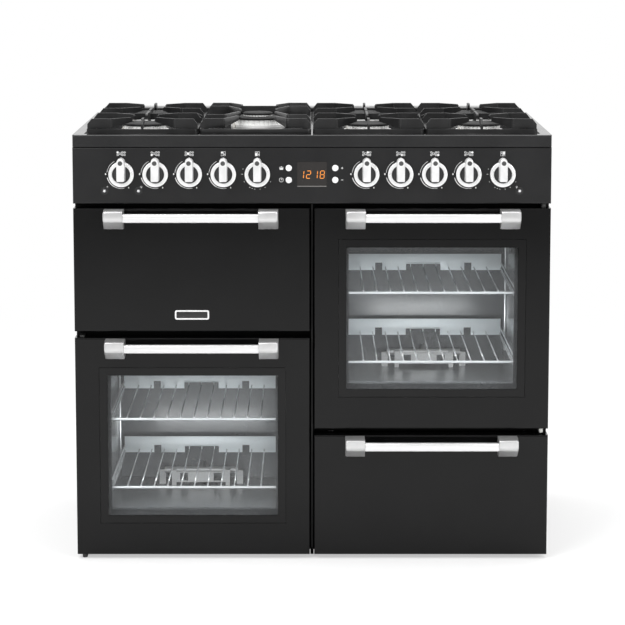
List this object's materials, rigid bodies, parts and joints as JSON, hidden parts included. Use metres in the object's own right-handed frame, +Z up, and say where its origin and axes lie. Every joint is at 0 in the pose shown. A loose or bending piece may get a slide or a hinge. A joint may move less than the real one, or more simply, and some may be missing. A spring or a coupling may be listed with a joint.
{
  "type": "range cooker with double oven",
  "caption": "Wide gas range cooker: burner hob with lift-off supports over a drop-down grill door, two side-hinged glazed ovens and a storage drawer.",
  "frame": {"origin": "middle of the overall box, on the floor", "axes": "+X to the right as seen from the front, +Y from the doors to the back, +Z up"},
  "size_m": [1, 0.65, 0.937],
  "materials": {
    "casing": "black powder-coated sheet",
    "galvanised": "plain galvanised sheet",
    "frame": "black enamelled frame",
    "feet": "black moulded feet",
    "hob_enamel": "gloss black enamel",
    "panel_enamel": "gloss black enamel",
    "timer_glass": "smoked lens on a black housing",
    "gas_metal": "cast and drawn gas fittings",
    "burner_alloy": "bright cast burner crowns",
    "cap_enamel": "matt black enamelled caps",
    "igniter_ceramic": "white ceramic electrodes",
    "oven_enamel": "grey speckled oven enamel",
    "mineral_wool": "mineral wool blanket",
    "rack_chrome": "chromed wire",
    "burner_steel": "stainless burner tube",
    "seal_rubber": "black door seal",
    "hinge_zinc": "zinc-plated hinge steel",
    "black_plastic": "black moulded terminal box",
    "door_enamel": "gloss black door front",
    "handle_satin": "satin silver handle",
    "door_glass": "tempered door glass with a dark border",
    "drawer_steel": "grey painted drawer box",
    "knob_silver": "silver knob with a dark disc",
    "support_iron": "black enamelled pan support",
    "button_silver": "silver button",
    "button_dark": "dark domed button"
  },
  "bodies": {
    "cooker": {"side_panel_left": "casing", "side_panel_right": "casing", "back_panel": "galvanised", "chassis_frame": "frame", "levelling_feet": "feet", "hob_tray": "hob_enamel", "control_panel": "panel_enamel", "timer_module": "timer_glass", "gas_rail": "gas_metal", "burner_crowns": "burner_alloy", "burner_caps": "cap_enamel", "spark_igniters": "igniter_ceramic", "left_oven_cavity": "oven_enamel", "right_oven_cavity": "oven_enamel", "grill_cavity": "oven_enamel", "oven_insulation": "mineral_wool", "oven_side_racks": "rack_chrome", "oven_shelves": "rack_chrome", "oven_burners": "burner_steel", "grill_burner": "burner_steel", "grill_pan": "oven_enamel", "oven_seals": "seal_rubber", "door_hinge_brackets": "hinge_zinc", "drawer_runners": "galvanised", "mains_terminal": "black_plastic"},
    "left_oven_door": {"left_door_panel": "door_enamel", "left_door_glass": "door_glass", "left_door_liner": "oven_enamel", "left_door_handle": "handle_satin"},
    "right_oven_door": {"right_door_panel": "door_enamel", "right_door_glass": "door_glass", "right_door_liner": "oven_enamel", "right_door_handle": "handle_satin"},
    "grill_door": {"grill_door_panel": "door_enamel", "grill_door_liner": "oven_enamel", "grill_door_handle": "handle_satin"},
    "drawer": {"drawer_front": "door_enamel", "drawer_box": "drawer_steel", "drawer_handle": "handle_satin"},
    "knob_1": {"knob_1": "knob_silver"},
    "knob_2": {"knob_2": "knob_silver"},
    "knob_3": {"knob_3": "knob_silver"},
    "knob_4": {"knob_4": "knob_silver"},
    "knob_5": {"knob_5": "knob_silver"},
    "knob_6": {"knob_6": "knob_silver"},
    "knob_7": {"knob_7": "knob_silver"},
    "knob_8": {"knob_8": "knob_silver"},
    "knob_9": {"knob_9": "knob_silver"},
    "knob_10": {"knob_10": "knob_silver"},
    "pan_support_1": {"pan_support_1": "support_iron"},
    "pan_support_2": {"pan_support_2": "support_iron"},
    "pan_support_3": {"pan_support_3": "support_iron"},
    "pan_support_4": {"pan_support_4": "support_iron"},
    "timer_button_1": {"timer_button_1": "button_silver"},
    "timer_button_2": {"timer_button_2": "button_silver"},
    "timer_button_3": {"timer_button_3": "button_silver"},
    "timer_button_4": {"timer_button_4": "button_silver"},
    "push_button_1": {"push_button_1": "button_dark"},
    "push_button_2": {"push_button_2": "button_dark"},
    "push_button_3": {"push_button_3": "button_dark"}
  },
  "joints": [
    {"name": "left_oven_door_swing", "type": "hinge", "parent": "cooker", "child": "left_oven_door", "pos_m": [-0.485, -0.262, 0.244], "axis": [0, 0, -1], "range_deg": [0, 100]},
    {"name": "right_oven_door_swing", "type": "hinge", "parent": "cooker", "child": "right_oven_door", "pos_m": [0.485, -0.262, 0.518], "axis": [0, 0, 1], "range_deg": [0, 100]},
    {"name": "grill_door_drop", "type": "hinge", "parent": "cooker", "child": "grill_door", "pos_m": [-0.25238, -0.258, 0.505], "axis": [1, 0, 0], "range_deg": [0, 90]},
    {"name": "drawer_slide", "type": "slide", "parent": "cooker", "child": "drawer", "axis": [0, -1, 0], "range_m": [0, 0.38]},
    {"name": "knob_1_turn", "type": "hinge", "parent": "cooker", "child": "knob_1", "pos_m": [-0.398, -0.275, 0.825], "axis": [0, -1, 0], "range_deg": [0, 205]},
    {"name": "knob_2_turn", "type": "hinge", "parent": "cooker", "child": "knob_2", "pos_m": [-0.327, -0.275, 0.825], "axis": [0, -1, 0], "range_deg": [0, 205]},
    {"name": "knob_3_turn", "type": "hinge", "parent": "cooker", "child": "knob_3", "pos_m": [-0.256, -0.275, 0.825], "axis": [0, -1, 0], "range_deg": [0, 205]},
    {"name": "knob_4_turn", "type": "hinge", "parent": "cooker", "child": "knob_4", "pos_m": [-0.185, -0.275, 0.825], "axis": [0, -1, 0], "range_deg": [0, 205]},
    {"name": "knob_5_turn", "type": "hinge", "parent": "cooker", "child": "knob_5", "pos_m": [-0.114, -0.275, 0.825], "axis": [0, -1, 0], "range_deg": [0, 230]},
    {"name": "knob_6_turn", "type": "hinge", "parent": "cooker", "child": "knob_6", "pos_m": [0.114, -0.275, 0.825], "axis": [0, -1, 0], "range_deg": [0, 205]},
    {"name": "knob_7_turn", "type": "hinge", "parent": "cooker", "child": "knob_7", "pos_m": [0.185, -0.275, 0.825], "axis": [0, -1, 0], "range_deg": [0, 205]},
    {"name": "knob_8_turn", "type": "hinge", "parent": "cooker", "child": "knob_8", "pos_m": [0.256, -0.275, 0.825], "axis": [0, -1, 0], "range_deg": [0, 205]},
    {"name": "knob_9_turn", "type": "hinge", "parent": "cooker", "child": "knob_9", "pos_m": [0.327, -0.275, 0.825], "axis": [0, -1, 0], "range_deg": [0, 205]},
    {"name": "knob_10_turn", "type": "hinge", "parent": "cooker", "child": "knob_10", "pos_m": [0.398, -0.275, 0.825], "axis": [0, -1, 0], "range_deg": [0, 230]},
    {"name": "pan_support_1_lift", "type": "slide", "parent": "cooker", "child": "pan_support_1", "axis": [0, 0, 1], "range_m": [0, 0.06]},
    {"name": "pan_support_2_lift", "type": "slide", "parent": "cooker", "child": "pan_support_2", "axis": [0, 0, 1], "range_m": [0, 0.06]},
    {"name": "pan_support_3_lift", "type": "slide", "parent": "cooker", "child": "pan_support_3", "axis": [0, 0, 1], "range_m": [0, 0.06]},
    {"name": "pan_support_4_lift", "type": "slide", "parent": "cooker", "child": "pan_support_4", "axis": [0, 0, 1], "range_m": [0, 0.06]},
    {"name": "timer_button_1_press", "type": "slide", "parent": "cooker", "child": "timer_button_1", "axis": [0, 1, 0], "range_m": [0, 0.0015], "stiffness_N_per_m": 300},
    {"name": "timer_button_2_press", "type": "slide", "parent": "cooker", "child": "timer_button_2", "axis": [0, 1, 0], "range_m": [0, 0.0015], "stiffness_N_per_m": 300},
    {"name": "timer_button_3_press", "type": "slide", "parent": "cooker", "child": "timer_button_3", "axis": [0, 1, 0], "range_m": [0, 0.0015], "stiffness_N_per_m": 300},
    {"name": "timer_button_4_press", "type": "slide", "parent": "cooker", "child": "timer_button_4", "axis": [0, 1, 0], "range_m": [0, 0.0015], "stiffness_N_per_m": 300},
    {"name": "push_button_1_press", "type": "slide", "parent": "cooker", "child": "push_button_1", "axis": [0, 1, 0], "range_m": [0, 0.0015], "stiffness_N_per_m": 300},
    {"name": "push_button_2_press", "type": "slide", "parent": "cooker", "child": "push_button_2", "axis": [0, 1, 0], "range_m": [0, 0.0015], "stiffness_N_per_m": 300},
    {"name": "push_button_3_press", "type": "slide", "parent": "cooker", "child": "push_button_3", "axis": [0, 1, 0], "range_m": [0, 0.0015], "stiffness_N_per_m": 300}
  ]
}
